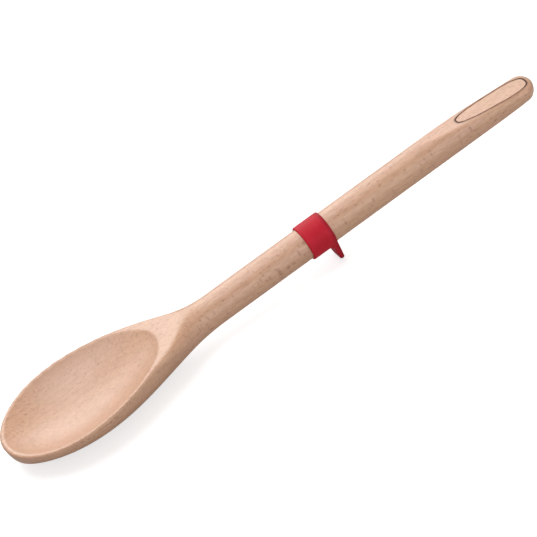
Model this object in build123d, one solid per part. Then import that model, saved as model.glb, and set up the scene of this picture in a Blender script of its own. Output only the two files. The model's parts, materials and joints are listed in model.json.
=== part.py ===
from build123d import *
import os
from math import atan2, cos, degrees, radians, sqrt

# A cooking spoon made of one piece of beech, with a moulded silicone ring pushed
# over its round handle. The ring has a tongue that hooks over the rim of a pan.
# The pieces are drawn with the handle level: X runs from the tip of the bowl to
# the end of the handle, Z is up, and the X axis is the axis of the handle.
# At the end the spoon is laid down on a table, on its bowl and on the tongue.

# Wooden spoon, along its length
spoon_length = 307.0
neck_from_tip = 118.5
widest_from_tip = 39.5
belly_from_tip = 60.5
nose_length = 6.1

# Wooden spoon, across
handle_diameter = 16.0
bowl_width = 62.5
neck_fullness = 2.0

# Heights of the bowl, from the axis of the handle
rim_fall = 3.1
rim_over_crest = 0.9
shoulder_from_tip = 57.5
wall_over_rim = 0.2
belly_depth = 12.0
nose_depth = 4.0
nose_fullness = 1.45

# Hollow of the bowl
lip_width = 1.5
hollow_depth = 10.0
hollow_runout = 4.0
lip_inside_round_share = 0.35
lip_outside_round_share = 0.5

# End of the handle, with its sanded flat
dome_length = 6.3
flat_length = 63.0
end_thickness = 9.2
flat_edge_round = 2.2

# Silicone ring
ring_from_tip = 172.3
ring_length = 13.8
ring_wall = 1.0
ring_clearance = 0.06
ring_edge_break = 0.35

# Tongue of the ring
tongue_drop = 17.6
tongue_root = 2.8
tongue_tip = 2.0
tongue_tip_width = 9.8
tongue_inset = 0.5
tongue_corner_round = 2.8
tongue_root_round = 2.0
tongue_edge_round = 0.8

# Ways of drawing
front_sections = 7
neck_sections = 7
cut_overrun = 20.0
rest_rounds = 8

handle_radius = handle_diameter / 2
bowl_radius = bowl_width / 2
ring_bore_radius = handle_radius + ring_clearance
ring_radius = ring_bore_radius + ring_wall
ring_end = ring_from_tip + ring_length


# Lines of the bowl
# Each gives a size or a height at a place along the spoon.


def ease(share):
    """Goes from 0 to 1 with a level start and end."""
    return share * share * (3 - 2 * share)


def rim_arc_radius():
    fall = rim_fall + rim_over_crest
    return (neck_from_tip**2 + fall**2) / (2 * fall)


def rim_height(x):
    """A large arc, level at the neck, that falls towards the tip."""
    radius = rim_arc_radius()
    return handle_radius + rim_over_crest - radius + sqrt(radius**2 - (neck_from_tip - x) ** 2)


def half_width(x):
    """Half an ellipse in front of the widest place, a bell curve behind it."""
    if x < widest_from_tip:
        return bowl_radius * sqrt(1 - (1 - x / widest_from_tip) ** 2)
    share = (x - widest_from_tip) / (neck_from_tip - widest_from_tip)
    return handle_radius + (bowl_radius - handle_radius) * (1 - share**2) ** neck_fullness


def widest_height(x):
    """Where a section is widest: just over the rim, and on the axis at the neck."""
    share = (x - shoulder_from_tip) / (neck_from_tip - shoulder_from_tip)
    return (rim_height(x) + wall_over_rim) * (1 - ease(max(0, share)))


def belly_height(x):
    """The line of the underside, lowest under the middle of the bowl."""
    if x < belly_from_tip:
        rise = (1 - x / belly_from_tip) ** nose_fullness
        return -belly_depth + (belly_depth - nose_depth) * rise
    share = (x - belly_from_tip) / (neck_from_tip - belly_from_tip)
    return -handle_radius - (belly_depth - handle_radius) * (1 - share**2) ** 2


def nose_share(x):
    """Rounds the tip of the bowl from the rim to the underside."""
    if x > nose_length:
        return 1
    return sqrt(1 - (1 - x / nose_length) ** 2)


def bowl_section(x):
    """A flattened oval across the spoon, drawn in four quarters."""
    middle = widest_height(x)
    wide = half_width(x)
    above = handle_radius * nose_share(x)
    below = (middle - belly_height(x)) * nose_share(x)
    across = Plane(origin=(x, 0, middle), x_dir=(0, 1, 0), z_dir=(1, 0, 0))
    quarters = [
        EllipticalCenterArc((0, 0), wide, above, 0, arc_size=90),
        EllipticalCenterArc((0, 0), wide, above, 90, arc_size=90),
        EllipticalCenterArc((0, 0), wide, below, 180, arc_size=90),
        EllipticalCenterArc((0, 0), wide, below, 270, arc_size=90),
    ]
    return across * make_face(quarters)


def bowl_blank():
    """The bowl and neck before the hollow is cut, from the tip to the plain handle."""
    front_step = radians(90) / front_sections
    places = [widest_from_tip * (1 - cos(n * front_step)) for n in range(1, front_sections + 1)]
    neck_length = neck_from_tip - widest_from_tip
    neck_step = neck_length / neck_sections
    places += [widest_from_tip + n * neck_step for n in range(1, neck_sections + 1)]
    return loft([Vertex(0, 0, widest_height(0))] + [bowl_section(x) for x in places])


def handle_blank():
    """The turned handle, with a domed end."""
    dome_start = spoon_length - dome_length
    outline = [
        Line((neck_from_tip, 0), (neck_from_tip, handle_radius)),
        Line((neck_from_tip, handle_radius), (dome_start, handle_radius)),
        EllipticalCenterArc((dome_start, 0), dome_length, handle_radius, 0, arc_size=90),
        Line((spoon_length, 0), (neck_from_tip, 0)),
    ]
    return revolve(Plane.XZ * make_face(outline), Axis.X)


def above_the_rim():
    """What is cut off over the bowl, down to the arc of the rim."""
    start = -cut_overrun
    top = handle_radius + cut_overrun
    outline = [
        ThreePointArc(
            (0, rim_height(0)),
            (neck_from_tip / 2, rim_height(neck_from_tip / 2)),
            (neck_from_tip, rim_height(neck_from_tip)),
        ),
        Line((neck_from_tip, rim_height(neck_from_tip)), (neck_from_tip, top)),
        Line((neck_from_tip, top), (start, top)),
        Line((start, top), (start, rim_height(0))),
        Line((start, rim_height(0)), (0, rim_height(0))),
    ]
    return extrude(Plane.XZ * make_face(outline), bowl_radius + cut_overrun, both=True)


def hollow_end():
    """The hollow narrows as the outline round it does, and runs on a little from there."""
    narrowing = 2 * neck_fullness * (bowl_radius - handle_radius)
    follows = (neck_from_tip - widest_from_tip) * sqrt((bowl_radius - lip_width) / narrowing)
    return widest_from_tip + follows + hollow_runout


def scoop():
    """The hollow: a large egg, turned about its long axis and sunk only a little."""
    half_opening = bowl_radius - lip_width
    egg_radius = (half_opening**2 + hollow_depth**2) / (2 * hollow_depth)
    growth = egg_radius / half_opening
    front = (widest_from_tip - lip_width) * growth
    back = (hollow_end() - widest_from_tip) * growth
    outline = [
        EllipticalCenterArc((0, 0), front, egg_radius, 90, arc_size=90),
        EllipticalCenterArc((0, 0), back, egg_radius, 0, arc_size=90),
        Line((back, 0), (-front, 0)),
    ]
    egg = revolve(Plane.XY * make_face(outline), Axis.X)
    fall = rim_height(hollow_end()) - rim_height(lip_width)
    slope = degrees(atan2(fall, hollow_end() - lip_width))
    opening = Pos(widest_from_tip, 0, rim_height(widest_from_tip)) * Rot(0, -slope, 0)
    return opening * Pos(0, 0, egg_radius - hollow_depth) * egg


def rim_face(spoon):
    """The narrow top of the lip, which lies on the large arc of the rim."""
    return max(spoon.faces().filter_by(GeomType.CYLINDER), key=lambda face: face.radius)


def round_the_lip(spoon):
    inside = rim_face(spoon).inner_wires()[0].edges()
    spoon = spoon.fillet(lip_width * lip_inside_round_share, inside)
    outside = rim_face(spoon).outer_wire().edges()
    return spoon.fillet(lip_width * lip_outside_round_share, outside)


def cut_end_flat(spoon):
    """Saws the sloping flat on top of the handle's end and softens its edge."""
    start = (spoon_length - flat_length, 0, handle_radius)
    fall = handle_diameter - end_thickness
    along = Vector(flat_length, 0, -fall)
    saw = Plane(origin=start, x_dir=along, z_dir=Vector(fall, 0, flat_length))
    spoon = split(spoon, bisect_by=saw, keep=Keep.BOTTOM)
    flat = spoon.faces().filter_by(GeomType.PLANE).sort_by(Axis.Z)[-1]
    return spoon.fillet(flat_edge_round, flat.edges())


def wooden_spoon():
    spoon = bowl_blank() - above_the_rim() - scoop() + handle_blank()
    return cut_end_flat(round_the_lip(spoon))


def tongue():
    """Nearly as wide as the ring at its root, and tapered both ways to a blunt tip."""
    taper = (tongue_root - tongue_tip) / (tongue_drop - ring_radius)
    profile = Polyline(
        (ring_end, 0),
        (ring_end, -tongue_drop),
        (ring_end - tongue_tip, -tongue_drop),
        (ring_end - tongue_root - taper * ring_radius, 0),
        close=True,
    )
    slab = extrude(Plane.XZ * make_face(profile), ring_radius, both=True)
    half_root = ring_radius - tongue_inset
    front = make_face(
        Polyline(
            (half_root, 0),
            (tongue_tip_width / 2, -tongue_drop),
            (-tongue_tip_width / 2, -tongue_drop),
            (-half_root, 0),
            close=True,
        )
    )
    front = fillet(front.vertices().sort_by(Axis.Y)[:2], tongue_corner_round)
    return slab & extrude(Plane.YZ * Pos(0, 0, ring_from_tip) * front, ring_length)


def round_tongue():
    """Rounds the tongue's face towards the bowl, along its sides and its tip."""
    plain = tongue()
    face = plain.faces().sort_by(Axis.X)[0]
    return plain.fillet(tongue_edge_round, face.edges().sort_by(Axis.Z)[:-1])


def rest_ring():
    """The band, its bore and the tongue, moulded as one with softened edges."""
    across = Plane.YZ * Pos(0, 0, ring_from_tip)
    band = extrude(across * Circle(ring_radius), ring_length)
    hook = round_tongue()
    ring = band + hook
    ring = ring.fillet(tongue_root_round, new_edges(band, hook, combined=ring))
    for end in (0, -1):
        rim = ring.faces().sort_by(Axis.X)[end].outer_wire().edges()
        ring = ring.chamfer(ring_edge_break, None, rim)
    return ring - extrude(across * Circle(ring_bore_radius), ring_length)


# At rest on a table


def rest_tilt(spoon, ring):
    """The slope at which the bowl and the tongue touch one level table."""
    tilt = 0
    for _ in range(rest_rounds):
        turn = Rot(0, -tilt, 0)
        gap = (turn * spoon).bounding_box().min.Z - (turn * ring).bounding_box().min.Z
        tilt += degrees(atan2(gap, ring_end - belly_from_tip))
    return tilt


def laid_down(spoon, ring):
    """Stands both pieces on the level Z = 0, centred over the origin."""
    tilt = rest_tilt(spoon, ring)
    turn = Rot(0, -tilt, 0)
    box = Compound([turn * spoon, turn * ring]).bounding_box()
    place = Pos(-(box.min.X + box.max.X) / 2, 0, -box.min.Z) * turn
    print("the handle rises by", round(tilt, 5), "degrees")
    for name, x in (
        ("tip of the bowl", 0),
        ("start of the ring", ring_from_tip),
        ("end of the ring", ring_end),
        ("start of the end flat", spoon_length - flat_length),
        ("end of the handle", spoon_length),
    ):
        point = (place * Pos(x, 0, 0)).position
        print("handle axis at the", name, round(point.X, 4), round(point.Z, 4))
    return place * spoon, place * ring


def main():
    os.makedirs("parts", exist_ok=True)
    spoon, ring = laid_down(wooden_spoon(), rest_ring())
    export_step(spoon, "parts/wooden_spoon.step")
    export_step(ring, "parts/rest_ring.step")


main()
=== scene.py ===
# %% [markdown]
# A wooden cooking spoon with a silicone rest ring.
#
# The real spoon is one piece of beech: a round rod that widens into a bowl,
# hollowed with a curved cutter, sanded and oiled. A soft ring of red silicone is
# pushed over the handle. Its tongue hooks over the rim of a pan.
#
# The shapes come from the CAD model, which is loaded as a fixed frame. Everything
# that is added here is placed from that frame, so nothing has to be fitted by eye.

# %% Load the frame
import json
from math import atan2, copysign, cos, exp, pi, radians, sin

import bmesh
import bpy
from mathutils import Matrix, Vector
from mathutils.kdtree import KDTree


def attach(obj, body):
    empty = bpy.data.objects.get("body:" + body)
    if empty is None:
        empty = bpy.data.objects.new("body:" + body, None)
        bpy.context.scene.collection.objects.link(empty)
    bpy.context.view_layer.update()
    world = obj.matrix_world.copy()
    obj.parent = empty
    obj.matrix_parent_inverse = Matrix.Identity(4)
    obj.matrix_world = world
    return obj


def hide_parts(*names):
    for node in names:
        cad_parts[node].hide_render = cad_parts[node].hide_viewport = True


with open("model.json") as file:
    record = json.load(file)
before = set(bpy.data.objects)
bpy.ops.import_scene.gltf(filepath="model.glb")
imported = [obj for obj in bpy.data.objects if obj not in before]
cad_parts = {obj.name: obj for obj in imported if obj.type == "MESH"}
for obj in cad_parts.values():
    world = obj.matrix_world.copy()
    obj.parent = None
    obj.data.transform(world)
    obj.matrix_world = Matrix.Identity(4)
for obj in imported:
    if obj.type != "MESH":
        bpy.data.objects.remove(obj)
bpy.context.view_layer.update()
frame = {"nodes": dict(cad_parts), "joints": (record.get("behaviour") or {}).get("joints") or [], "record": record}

mm = 0.001

# %% [markdown]
# Two straight lines place everything else: the axis of the handle, and the sloping
# flat that is sanded on top of the handle's end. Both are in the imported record, so
# they are read from there. The handle rises a little, because the spoon lies on its
# bowl and on the tongue of the ring.

# %% The lines of the handle
mounts = {mount["name"]: mount for mount in frame["record"]["mounts"]}
handle_along = Vector(frame["joints"][0]["axis"]).normalized()
handle_up = handle_along.cross(Vector((0, 1, 0)))
handle_point = Vector(mounts["handle"]["pos_m"])
flat_point = Vector(mounts["end_flat"]["pos_m"])
flat_up = Vector(mounts["end_flat"]["axis"]).normalized()
flat_along = Vector((flat_up.z, 0, -flat_up.x))
print("the handle rises by", round(handle_along.z / handle_along.x, 4), "per unit of length")

# %% [markdown]
# The camera stands where the photographer stood: in front of the spoon, about 37
# degrees above the table and a little towards the bowl. It is far away with a
# long lens, so the handle keeps its width from end to end. The camera is also
# rolled, which is what makes the spoon run up to the right.

# %% Camera
view_elevation = radians(37)
view_turn = radians(9)
roll_of_handle = radians(35.98)
view_width = 0.2527
camera_distance = 4.0
aim_along = -63.0 * mm
aim_up = 0.5 * mm

handle_frame = Matrix((handle_along, Vector((0, 1, 0)), handle_up)).transposed()
towards_camera = handle_frame @ Vector(
    (-sin(view_turn), -cos(view_turn) * cos(view_elevation), cos(view_turn) * sin(view_elevation))
)
handle_in_view = (handle_along - towards_camera * handle_along.dot(towards_camera)).normalized()
across_view = towards_camera.cross(handle_in_view)
right = handle_in_view * cos(roll_of_handle) - across_view * sin(roll_of_handle)
up = towards_camera.cross(right)
aim = handle_point + handle_along * aim_along + handle_up * aim_up

camera_data = bpy.data.cameras.new("camera")
camera_data.lens = camera_data.sensor_width * camera_distance / view_width
camera_data.clip_end = 20.0
camera = bpy.data.objects.new("camera", camera_data)
bpy.context.scene.collection.objects.link(camera)
camera.matrix_world = Matrix.Translation(aim + towards_camera * camera_distance) @ Matrix(
    (right, up, towards_camera)
).transposed().to_4x4()
bpy.context.scene.camera = camera
print("lens", round(camera_data.lens), "mm")

# %% [markdown]
# The light is that of a small studio with white walls: an even glow from all
# round, and three large soft lamps. One hangs above the spoon. A bright panel behind
# the spoon glances off the oiled wood, so that everything that faces up gets a pale
# veil. The third stands in front, and keeps the near side from going dark.

# %% Even glow
glow_strength = 0.46
world = bpy.data.worlds.new("studio")
bpy.context.scene.world = world
world.use_nodes = True
world.node_tree.nodes["Background"].inputs["Color"].default_value = (1, 1, 1, 1)
world.node_tree.nodes["Background"].inputs["Strength"].default_value = glow_strength

# %% Soft lamps


def hang_lamp(name, place, size, watts):
    """A round soft lamp at a place, turned towards the spoon."""
    lamp_data = bpy.data.lights.new(name, "AREA")
    lamp_data.shape = "DISK"
    lamp_data.size = size
    lamp_data.energy = watts
    lamp = bpy.data.objects.new(name, lamp_data)
    bpy.context.scene.collection.objects.link(lamp)
    turn = place.to_track_quat("Z", "Y").to_matrix().to_4x4()
    lamp.matrix_world = Matrix.Translation(place) @ turn
    print(name, "at", round(place.length, 2), "m")


hang_lamp("high_lamp", place=Vector((-0.2, 0.12, 1.38)), size=1.0, watts=9.0)
hang_lamp("back_panel", place=Vector((0.1, 1.2, 0.9)), size=1.2, watts=11.0)
hang_lamp("front_lamp", place=Vector((0.45, -1.4, 0.42)), size=1.3, watts=5.8)

# %% [markdown]
# A material is easier to read when its nodes are added by small helpers. One adds
# a node and joins its sockets, one does arithmetic, one makes a soft step from 0 to
# 1, and one mixes two colours. The last lays a list of tints over a colour, each by
# its own share.

# %% A workbench for materials


def start_material(name):
    """A new node material, its shader, and the helpers that build it."""
    material = bpy.data.materials.new(name)
    material.use_nodes = True
    nodes = material.node_tree.nodes
    links = material.node_tree.links

    def add(kind, values=None, **settings):
        node = nodes.new(kind)
        for setting, value in settings.items():
            setattr(node, setting, value)
        for socket, value in (values or {}).items():
            if isinstance(value, bpy.types.NodeSocket):
                links.new(value, node.inputs[socket])
            else:
                node.inputs[socket].default_value = value
        return node

    def calc(operation, *values):
        return add("ShaderNodeMath", dict(enumerate(values)), operation=operation).outputs[0]

    def fade(value, start, end):
        step = {"Value": value, "From Min": start, "From Max": end}
        return add("ShaderNodeMapRange", step, interpolation_type="SMOOTHSTEP").outputs["Result"]

    def tint(share, first, second):
        return add("ShaderNodeMix", {0: share, 6: first, 7: second}, data_type="RGBA").outputs[2]

    def lay(colour, *layers):
        for amount, share, over in layers:
            colour = tint(calc("MULTIPLY", amount, share), colour, over)
        return colour

    return material, nodes["Principled BSDF"], links, add, calc, fade, tint, lay


def rgb(red, green, blue):
    """A colour that is not see-through."""
    return (red, green, blue, 1.0)


# %% [markdown]
# The floor is white paper. The camera sees it a little brighter than it is, which
# gives the clean background of a catalogue picture and still keeps the shadow.

# %% Floor
floor_width = 8.0
paper_white = rgb(0.55, 0.55, 0.55)
paper_glow = 0.68
bpy.ops.object.select_all(action="DESELECT")
bpy.ops.mesh.primitive_plane_add(size=floor_width, location=(0, 0, 0))
floor = bpy.context.object
floor.name = "floor"

paper, shader, links, add, *_ = start_material("white_paper")
shader.inputs["Base Color"].default_value = paper_white
shader.inputs["Roughness"].default_value = 0.9
shader.inputs["Specular IOR Level"].default_value = 0.1
seen = add("ShaderNodeLightPath").outputs["Is Camera Ray"]
glow = add("ShaderNodeEmission", {"Strength": paper_glow})
total = add("ShaderNodeAddShader", {0: glow.outputs[0], 1: shader.outputs[0]})
gate = add("ShaderNodeMixShader", {0: seen, 1: shader.outputs[0], 2: total.outputs[0]})
links.new(gate.outputs[0], paper.node_tree.nodes["Material Output"].inputs["Surface"])
floor.data.materials.append(paper)

# %% [markdown]
# Beech is a pale, slightly pink wood. Close up it shows very fine fibres along the
# grain, faint growth rings, and a slow change between pinker and yellower wood. The
# far side of the bowl is painted darker and warmer: that is painted shade, where the
# far wall of the hollow turns away from the light. The wood also shows rays, thin
# ribbons that run from the heart of the tree to the bark. On a face cut square to
# them they are short dark dashes, and on a face cut along them they are wide flecks
# across the grain.
# A picture wrapped round the spoon could not show that. Here the wood is a solid
# block in space, laid along the handle, and the spoon is cut out of it. The dashes
# on top and the flecks on the sides then come from the same rays, as in real wood.
# Places in the block are in millimetres from the tip of the bowl.

# %% The block of wood that the spoon is cut from
mount_from_tip = 215.0
turn_of_block = radians(20)
tip_of_axis = handle_point - handle_along * mount_from_tip * mm
grain_axes = Matrix.Rotation(turn_of_block, 3, "X") @ Matrix.Rotation(
    atan2(handle_along.z, handle_along.x), 3, "Y"
)
grain_start = -(grain_axes @ tip_of_axis) / mm
print("grain turned by", [round(angle, 3) for angle in grain_axes.to_euler()])

# %% Coordinates of the beech, in millimetres along, across and up through the block
beech, shader, links, add, calc, fade, tint, lay = start_material("beech")
coordinates = add("ShaderNodeTexCoord")
block = add(
    "ShaderNodeMapping",
    {
        "Vector": coordinates.outputs["Object"],
        "Location": grain_start,
        "Rotation": grain_axes.to_euler(),
        "Scale": (1 / mm, 1 / mm, 1 / mm),
    },
).outputs["Vector"]


def sized(length, width, height):
    """The block's coordinates, so that a pattern of size 1 gets this size in millimetres."""
    scale = (1 / length, 1 / width, 1 / height)
    return add("ShaderNodeVectorMath", {0: block, 1: scale}, operation="MULTIPLY").outputs[0]


def noise(length, width, height, detail):
    """Cloudy spots of this size in millimetres."""
    values = {"Vector": sized(length, width, height), "Scale": 1.0, "Detail": detail, "Roughness": 0.55}
    return add("ShaderNodeTexNoise", values).outputs["Fac"]


# %% Growth rings, which lean along the block and waver
heart_below = 64.0
ring_spacing = 2.6
ring_lean = 0.035
ring_waver = 5.0
split_block = add("ShaderNodeSeparateXYZ", {0: block})
along_block, across_block = split_block.outputs[0], split_block.outputs[1]
from_heart = add(
    "ShaderNodeVectorMath", {0: block, 1: (0, 0, heart_below)}, operation="ADD"
).outputs[0]
flattened = add("ShaderNodeVectorMath", {0: from_heart, 1: (0, 1, 1)}, operation="MULTIPLY").outputs[0]
radius = add("ShaderNodeVectorMath", {0: flattened}, operation="LENGTH").outputs["Value"]
leaning = calc("MULTIPLY_ADD", along_block, ring_lean, radius)
wavering = calc("MULTIPLY_ADD", noise(70, 22, 22, 2.0), ring_waver, leaning)
phase = calc("FRACT", calc("DIVIDE", wavering, ring_spacing))
late_wood = calc("MULTIPLY", fade(phase, 0.3, 0.92), fade(phase, 1.0, 0.92))

# %% Fibres, slow changes, and painted shade on the far side of the bowl
fibre = noise(4, 0.35, 0.5, 3.0)
patches = noise(34, 11, 11, 2.0)
clouds = noise(9, 5, 5, 2.0)
# The far side of the bowl is painted darker and warmer: painted shade on the far wall of the hollow.
shade_across = (10.0, 26.0)
shade_along = (12.0, 40.0)
shade_waver = 8.0
wavering_shade_side = calc("MULTIPLY_ADD", patches, shade_waver, across_block)
far_side_shade = calc(
    "MULTIPLY", fade(wavering_shade_side, *shade_across), fade(along_block, *shade_along)
)

# %% Rays, most of them in full and the rest faint
share_in_full = 0.6


def rays(length, width, height, chance, thin, thick):
    """Spindle shapes in a share of the cells of a stretched cell pattern."""
    cells = add("ShaderNodeTexVoronoi", {"Vector": sized(length, width, height), "Scale": 1.0})
    shape = fade(cells.outputs["Distance"], thick, thin)
    lot = add("ShaderNodeSeparateColor", {0: cells.outputs["Color"]}).outputs[0]
    return calc("MULTIPLY", shape, fade(lot, 1 - chance, 1 - chance * share_in_full))


fine_rays = rays(length=2.2, width=0.62, height=9.0, chance=0.75, thin=0.1, thick=0.42)
broad_rays = rays(length=4.2, width=1.25, height=13.0, chance=0.5, thin=0.1, thick=0.36)
groups = fade(noise(26, 12, 16, 1.0), 0.46, 0.6)
grouped_rays = calc("MULTIPLY", broad_rays, groups)

# %% Colour of the beech
pink_beech = rgb(0.64, 0.357, 0.229)
golden_beech = rgb(0.64, 0.365, 0.22)
ray_brown = rgb(0.32, 0.125, 0.06)
late_brown = rgb(0.4, 0.2, 0.11)
fibre_brown = rgb(0.44, 0.225, 0.12)
far_side_shade_brown = rgb(0.42, 0.19, 0.085)

colour = lay(
    tint(fade(patches, 0.35, 0.65), pink_beech, golden_beech),
    # painted shade on the far side of the bowl
    (far_side_shade, 0.42, far_side_shade_brown),
    (fade(clouds, 0.4, 0.75), 0.16, fibre_brown),
    (late_wood, 0.16, late_brown),
    (fade(fibre, 0.4, 0.75), 0.75, fibre_brown),
    (fine_rays, 0.55, ray_brown),
    (grouped_rays, 0.7, ray_brown),
)

# %% [markdown]
# Where the saw cuts the grain square, at the tip of the bowl and the end of the
# handle, the open pores drink more oil and the wood is darker. The surface's own
# direction tells where that is. The rounded edges are painted a little darker too:
# part of it is wear from sanding and hands, and part is painted shade where the
# edges turn away from the light. The wood is scorched beside the burnt line. Where
# the edges and the scorch are is measured further on, and stored on the mesh's points.

# %% End grain, painted shade and wear on the edges, and scorch
edge_wear_and_shade_brown = rgb(0.4, 0.18, 0.1)
scorch_brown = rgb(0.2, 0.09, 0.045)
facing = add(
    "ShaderNodeVectorMath", {0: coordinates.outputs["Normal"], 1: handle_along}, operation="DOT_PRODUCT"
).outputs["Value"]
end_grain = fade(calc("ABSOLUTE", facing), 0.45, 1.0)
edge = add("ShaderNodeAttribute", attribute_name="edge").outputs["Fac"]
scorch = add("ShaderNodeAttribute", attribute_name="scorch").outputs["Fac"]
# The edge layer darkens the rounded edges: part wear from sanding and hands, part painted shade where they turn
# from the light.
colour = lay(
    colour, (end_grain, 0.45, edge_wear_and_shade_brown), (edge, 0.55, edge_wear_and_shade_brown), (scorch, 0.7, scorch_brown)
)
links.new(colour, shader.inputs["Base Color"])

# %% Surface of the beech, in which the fine rays lie a little deeper
ray_relief = -0.5
least_rough = 0.34
rough_by_fibre = 0.16
relief = calc("MULTIPLY_ADD", fine_rays, ray_relief, fibre)
bump = add("ShaderNodeBump", {"Height": relief, "Strength": 0.35, "Distance": 0.03 * mm})
links.new(bump.outputs["Normal"], shader.inputs["Normal"])
links.new(calc("MULTIPLY_ADD", fibre, rough_by_fibre, least_rough), shader.inputs["Roughness"])
shader.inputs["Specular IOR Level"].default_value = 1.0
shader.inputs["Coat Weight"].default_value = 0.12
shader.inputs["Coat Roughness"].default_value = 0.36
print("beech has", len(beech.node_tree.nodes), "nodes")

# %% [markdown]
# The burnt line is drawn with a hot tool. The tool turns slowly at both ends of the
# loop, so the wood is charred there, and only toasted along the sides. How slow the
# tool was is stored on the points of the finished mesh too.

# %% Burnt line
burnt, shader, links, add, calc, fade, tint, lay = start_material("burnt_line")
mottle = add(
    "ShaderNodeTexNoise",
    {"Vector": add("ShaderNodeTexCoord").outputs["Object"], "Scale": 420.0, "Detail": 3.0},
).outputs["Fac"]
slow = add("ShaderNodeAttribute", attribute_name="slow").outputs["Fac"]
spots = fade(mottle, 0.3, 0.7)
charred = tint(spots, rgb(0.085, 0.035, 0.018), rgb(0.15, 0.065, 0.032))
toasted = tint(spots, rgb(0.3, 0.15, 0.085), rgb(0.42, 0.24, 0.15))
links.new(tint(slow, toasted, charred), shader.inputs["Base Color"])
links.new(calc("MULTIPLY_ADD", mottle, 0.2, 0.7), shader.inputs["Roughness"])
char = add("ShaderNodeBump", {"Height": mottle, "Strength": 0.4, "Distance": 0.05 * mm})
links.new(char.outputs["Normal"], shader.inputs["Normal"])

# %% [markdown]
# Silicone is moulded in one colour all through. Its skin is satin, not glossy: the
# mould is blasted, which leaves a very fine grain. A little dust and handling make
# it slightly paler in places. Towards the end where the tongue grows out of it, the
# red is painted deeper: that is painted shade on the band's rounded end and the
# tongue's root. The rounded edges of the ring are painted deeper red too, as painted
# shade. How near a point is to that end is stored on the points of the ring.

# %% Red silicone
new_red = rgb(0.495, 0.008, 0.022)
worn_red = rgb(0.55, 0.013, 0.031)
# Red for painted shade, on the ring's rounded edges and at the end with the tongue.
painted_shade_red = rgb(0.2, 0.004, 0.014)
silicone, shader, links, add, calc, fade, tint, lay = start_material("red_silicone")
in_space = add("ShaderNodeTexCoord").outputs["Object"]
grain = add("ShaderNodeTexNoise", {"Vector": in_space, "Scale": 3200.0, "Detail": 2.0}).outputs["Fac"]
wear = add("ShaderNodeTexNoise", {"Vector": in_space, "Scale": 160.0, "Detail": 3.0}).outputs["Fac"]
edge = add("ShaderNodeAttribute", attribute_name="edge").outputs["Fac"]
thick = add("ShaderNodeAttribute", attribute_name="thick").outputs["Fac"]
red = tint(fade(wear, 0.35, 0.75), new_red, worn_red)
# Painted shade: deeper red towards the end with the tongue and on the rounded edges.
red = lay(red, (thick, 0.45, painted_shade_red), (edge, 0.6, painted_shade_red))
links.new(red, shader.inputs["Base Color"])
links.new(calc("MULTIPLY_ADD", wear, 0.16, 0.46), shader.inputs["Roughness"])
skin = add("ShaderNodeBump", {"Height": grain, "Strength": 0.25, "Distance": 0.02 * mm})
links.new(skin.outputs["Normal"], shader.inputs["Normal"])
shader.inputs["Specular IOR Level"].default_value = 0.2

# %% [markdown]
# No edge on the real pieces is sharp: the spoon is sanded by hand after the cutter,
# and the ring comes rounded out of its mould. The CAD solids have the main edge
# rounds. The rest is sanded here, on a copy of each solid. The copy's loose
# triangles are merged, then the skin is rebuilt with small even squares, which a
# smoothing pass can soften as sandpaper does.

# %% Copy a solid and give it an even skin


def select_only(piece):
    """Makes one piece the one that the next operators work on."""
    bpy.ops.object.select_all(action="DESELECT")
    piece.select_set(True)
    bpy.context.view_layer.objects.active = piece


merge_distance = 0.002 * mm


def copy_of_node(node_name, name):
    """A merged copy of a CAD node, as a piece of its own."""
    piece = bpy.data.objects.new(name, frame["nodes"][node_name].data.copy())
    bpy.context.scene.collection.objects.link(piece)
    select_only(piece)
    bpy.ops.object.mode_set(mode="EDIT")
    bpy.ops.mesh.select_all(action="SELECT")
    bpy.ops.mesh.remove_doubles(threshold=merge_distance)
    bpy.ops.object.mode_set(mode="OBJECT")
    return piece


def even_skin(piece, square):
    """Rebuilds the skin with squares of one size."""
    rebuild = piece.modifiers.new("even_skin", "REMESH")
    rebuild.mode = "VOXEL"
    rebuild.voxel_size = square
    rebuild.use_smooth_shade = True
    bpy.ops.object.modifier_apply(modifier=rebuild.name)
    print(piece.name, "has", len(piece.data.polygons), "squares")


def sand(piece, passes, group=""):
    """Smooths the whole skin, or only where the group's weights say so."""
    smooth = piece.modifiers.new("sanding", "SMOOTH")
    smooth.factor = 0.5
    smooth.iterations = passes
    smooth.vertex_group = group
    bpy.ops.object.modifier_apply(modifier=smooth.name)


def soft_step(value, start, end):
    """0 up to the start, 1 from the end, and a smooth rise between."""
    share = min(1.0, max(0.0, (value - start) / (end - start)))
    return share * share * (3 - 2 * share)


spoon = copy_of_node("wooden_spoon", "sanded_spoon")
even_skin(spoon, square=0.6 * mm)
sand(spoon, passes=2)

# %% [markdown]
# The maker ends the hollow with a last sweep of the curved cutter, which carries its
# end a little further towards the neck than the even cut of the solid. The shoulder
# behind it is left a little wider on the near side. On the mesh each is a push of the
# points, strongest at one place and fading away all round. The bottom of the bowl is
# not pushed, so the spoon lies as before. The last push takes the whole of the
# handle's end a little to the far side, because a rod of wood is seldom quite straight.
#
# How much a point's surface faces up, its lean, decides how far it takes part. It is
# 1 on level skin, 0 on upright walls and down to -1 below, so limits under -1 take
# every point. All leans are read before the first point of a push moves.

# %% A place on the spoon, and a push of its skin
furthest = 2.5
least_weight = 0.003


def place_on_spoon(point):
    """A point as millimetres along the handle from the tip, across, and above its axis."""
    offset = (point - tip_of_axis) / mm
    return offset.dot(handle_along), offset.y, offset.dot(handle_up)


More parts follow.
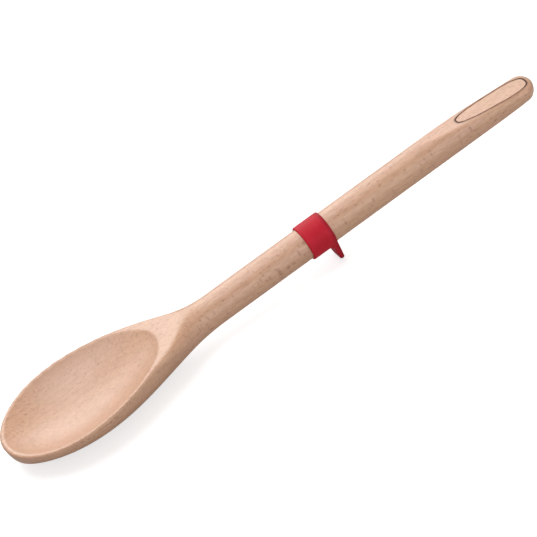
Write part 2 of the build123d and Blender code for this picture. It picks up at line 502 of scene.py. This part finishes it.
def push_skin(push, middle, reach, least_lean, full_lean):
    """Pushes the spoon's points round a place by some millimetres along and across."""
    pushed = 0
    leans = [vertex.normal.dot(handle_up) for vertex in spoon.data.vertices]
    for vertex, lean in zip(spoon.data.vertices, leans):
        along, across, _ = place_on_spoon(vertex.co)
        distance = (Vector((along, across)) - Vector(middle)).length / reach
        weight = exp(-(distance**2)) * soft_step(lean, least_lean, full_lean)
        if distance < furthest and weight > least_weight:
            vertex.co += Vector(push) * weight * mm
            pushed += 1
    spoon.data.update()
    print("pushed", pushed, "points")


# %% Carry the end of the hollow on, widen the shoulder, and bend the handle's end
push_skin(push=(2.2, 0.7, 0), middle=(87.0, 1.0), reach=12.0, least_lean=0.25, full_lean=0.6)
push_skin(push=(0, -2.4, 0), middle=(89.5, -12.0), reach=11.0, least_lean=-0.5, full_lean=0.3)
push_skin(push=(0, 0.9, 0), middle=(306.0, 0.0), reach=11.0, least_lean=-2.0, full_lean=-1.5)

# %% [markdown]
# The lip round the hollow is flat when it comes from the cutter. Sandpaper rounds
# it over. A point is on the lip where the skin bends outwards, so how sharply it
# bends is measured at each point, and spread over its neighbours to reach the middle
# of the lip.

# %% How sharply the skin bends


def outward_bends(mesh):
    """How sharply the skin turns outwards at each point: 0 where it is flat."""
    skin = bmesh.new()
    skin.from_mesh(mesh)
    values = []
    for vertex in skin.verts:
        ways = [(edge.other_vert(vertex).co - vertex.co).normalized() for edge in vertex.link_edges]
        values.append(-sum(way.dot(vertex.normal) for way in ways) / len(ways))
    skin.free()
    return values


kept_by_neighbour = 0.9


def spread(mesh, values):
    """Raises each point to at least nine tenths of its highest neighbour."""
    raised = list(values)
    for edge in mesh.edges:
        first, second = edge.vertices
        raised[first] = max(raised[first], kept_by_neighbour * values[second])
        raised[second] = max(raised[second], kept_by_neighbour * values[first])
    return raised


# %% Round the lip over, from its tip to where it runs out beside the hollow's end
bend_of_lip = (0.06, 0.14)
lip_along = (98, 82)
lip_height = (-4.0, -1.0)
lip = spoon.vertex_groups.new(name="lip")
bends = spread(spoon.data, spread(spoon.data, outward_bends(spoon.data)))
rounded = 0
for vertex, bend in zip(spoon.data.vertices, bends):
    along, _, height = place_on_spoon(vertex.co)
    weight = soft_step(bend, *bend_of_lip) * soft_step(along, *lip_along) * soft_step(height, *lip_height)
    if weight > 0:
        lip.add([vertex.index], weight, "REPLACE")
        rounded += 1
sand(spoon, passes=12, group="lip")
print("rounded", rounded, "points of the lip")

# %% [markdown]
# Behind the hollow the flat shoulder runs out into the round handle. There the
# spoon is sanded most, so its edge fades away. Only points that face up and lie above
# the handle's axis are sanded. Their weight is highest just before the neck, and much
# lower on the far side.

# %% Sand the shoulder into the handle
shoulder_begins = (78, 104)
shoulder_ends = (132, 112)
shoulder_lean = (0.0, 0.3)
shoulder_height = (1.5, 4.5)
far_side_share = 0.35
shoulder = spoon.vertex_groups.new(name="shoulder")
sanded = 0
for vertex in spoon.data.vertices:
    along, across, height = place_on_spoon(vertex.co)
    lean = vertex.normal.dot(handle_up)
    weight = soft_step(along, *shoulder_begins) * soft_step(along, *shoulder_ends)
    weight *= soft_step(lean, *shoulder_lean) * soft_step(height, *shoulder_height)
    weight *= far_side_share if across > 0 else 1.0
    if weight > 0:
        shoulder.add([vertex.index], weight, "REPLACE")
        sanded += 1
sand(spoon, passes=50, group="shoulder")
print("sanded", sanded, "points of the shoulder")

# %% [markdown]
# On the flat at the end of the handle the real spoon has a burnt border line: a
# long egg-shaped loop, wider towards the end. The line is a shallow groove. A tool
# of the same shape is made from a disc: its outline is drawn as an egg, an inset
# leaves a band as wide as the line, and a thickness makes it solid. The tool is
# sunk into the flat and cut away, and the wood keeps the tool's burnt colour there.
# The space inside the loop is left bare.

# %% The egg-shaped outline
loop_middle = 9.9 * mm
loop_half_length = 19.9 * mm
loop_half_width = 5.75 * mm
loop_taper = 0.2
loop_fullness = 0.68
line_width = 0.85 * mm
line_depth = 0.3 * mm


def loop_point(turn):
    """A point of the loop, as a place along the flat and a place across it."""
    along = copysign(abs(cos(turn)) ** loop_fullness, cos(turn))
    across = copysign(abs(sin(turn)) ** loop_fullness, sin(turn)) * (1 + loop_taper * along)
    return loop_middle + loop_half_length * along, loop_half_width * across


bpy.ops.object.select_all(action="DESELECT")
bpy.ops.mesh.primitive_circle_add(vertices=160, radius=1, fill_type="NGON", location=(0, 0, 0))
burner = bpy.context.object
burner.name = "burner"
for vertex in burner.data.vertices:
    along, across = loop_point(atan2(vertex.co.y, vertex.co.x))
    vertex.co = (along, across, 0)
print("loop", round(2 * loop_half_length / mm, 1), "mm long")

# %% A band as wide as the line, made solid
bpy.ops.object.mode_set(mode="EDIT")
bpy.ops.mesh.select_mode(type="FACE")
bpy.ops.mesh.select_all(action="SELECT")
bpy.ops.mesh.inset(thickness=line_width)
bpy.ops.mesh.delete(type="FACE")
bpy.ops.object.mode_set(mode="OBJECT")
thickness = burner.modifiers.new("thickness", "SOLIDIFY")
thickness.thickness = 2 * line_depth
thickness.offset = 0
bpy.ops.object.modifier_apply(modifier=thickness.name)
round_off = burner.modifiers.new("round_off", "BEVEL")
round_off.width = 0.18 * mm
round_off.segments = 2
bpy.ops.object.modifier_apply(modifier=round_off.name)
burner.matrix_world = Matrix.Translation(flat_point) @ Matrix(
    (flat_along, Vector((0, 1, 0)), flat_up)
).transposed().to_4x4()
print("burner has", len(burner.data.polygons), "faces")

# %% Cut the line
spoon.data.materials.clear()
spoon.data.materials.append(beech)
spoon.data.materials.append(burnt)
burner.data.materials.append(burnt)
select_only(spoon)
cut = spoon.modifiers.new("burnt_line", "BOOLEAN")
cut.operation = "DIFFERENCE"
cut.solver = "EXACT"
cut.material_mode = "TRANSFER"
cut.object = burner
bpy.ops.object.modifier_apply(modifier=cut.name)
bpy.data.objects.remove(burner)
bpy.ops.object.shade_smooth_by_angle(angle=radians(55))
burnt_faces = sum(face.material_index == 1 for face in spoon.data.polygons)
print(burnt_faces, "burnt faces")

# %% [markdown]
# Three measures are stored on the points of the finished skin, for the materials to
# read. One is how sharply the surface turns outwards, which finds the edges that get
# painted shade, and on the spoon wear as well. The second is the distance to the
# burnt line, which gives the scorch beside it. The third is how slowly the hot tool
# moved, which grows towards both ends of the loop.

# %% Store the edges


def store_edges(piece, gentle, sharp):
    """Writes 0 on flat or hollow skin and 1 on an outward edge."""
    values = [soft_step(bend, gentle, sharp) for bend in outward_bends(piece.data)]
    piece.data.attributes.new("edge", "FLOAT", "POINT").data.foreach_set("value", values)
    print(piece.name, "has", sum(value > 0.5 for value in values), "points on an edge")


store_edges(spoon, gentle=0.06, sharp=0.18)

# %% Store the scorch
scorch_reach = 0.55 * mm
scorch_ends = 4 * scorch_reach
steps = 720
line = KDTree(steps)
for step in range(steps):
    along, across = loop_point(2 * pi * step / steps)
    line.insert(flat_point + flat_along * along + Vector((0, across, 0)), step)
line.balance()
values = []
for vertex in spoon.data.vertices:
    distance = line.find(vertex.co)[2]
    values.append(exp(-((distance / scorch_reach) ** 2)) if distance < scorch_ends else 0.0)
spoon.data.attributes.new("scorch", "FLOAT", "POINT").data.foreach_set("value", values)
print(sum(value > 0.1 for value in values), "scorched points")

# %% Store how slowly the tool moved
slower_from = 0.72 * loop_half_length
slowest_from = 0.96 * loop_half_length
values = []
for vertex in spoon.data.vertices:
    from_middle = abs((vertex.co - flat_point).dot(flat_along) - loop_middle)
    values.append(soft_step(from_middle, slower_from, slowest_from))
spoon.data.attributes.new("slow", "FLOAT", "POINT").data.foreach_set("value", values)

# %% The spoon stands in for its solid
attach(spoon, "spoon")
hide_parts("wooden_spoon")

# %% [markdown]
# The ring is softer at its edges than the chamfers of the solid. A few smoothing
# passes on a finer skin round both ends of the band, the root and the tip of the
# tongue, as a mould would.

# %% The ring
ring = copy_of_node("rest_ring", "soft_ring")
even_skin(ring, square=0.25 * mm)
sand(ring, passes=8)
ring.data.materials.clear()
ring.data.materials.append(silicone)
# The ring's edges are found here for the painted shade in its material.
store_edges(ring, gentle=0.06, sharp=0.25)

# %% Store how near the ring's points are to the end with the tongue, in millimetres, for the painted shade there
shade_begins_from = -2.4
full_shade_from = -1.0
points = ring.data.vertices
from_tip = [(vertex.co - tip_of_axis).dot(handle_along) for vertex in points]
ring_end = max(along for along, vertex in zip(from_tip, points) if vertex.co.z > handle_point.z)
values = [soft_step((along - ring_end) / mm, shade_begins_from, full_shade_from) for along in from_tip]
ring.data.attributes.new("thick", "FLOAT", "POINT").data.foreach_set("value", values)
print(sum(value > 0.5 for value in values), "points in deep red")

# %% The ring stands in for its solid
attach(ring, "ring")
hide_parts("rest_ring")

# %% The solids behind them keep a finish too
for node_name, material in (("wooden_spoon", beech), ("rest_ring", silicone)):
    node = frame["nodes"][node_name]
    node.data.materials.clear()
    node.data.materials.append(material)

# %% Plain colours, as a studio photograph shows them
bpy.context.scene.view_settings.view_transform = "Standard"
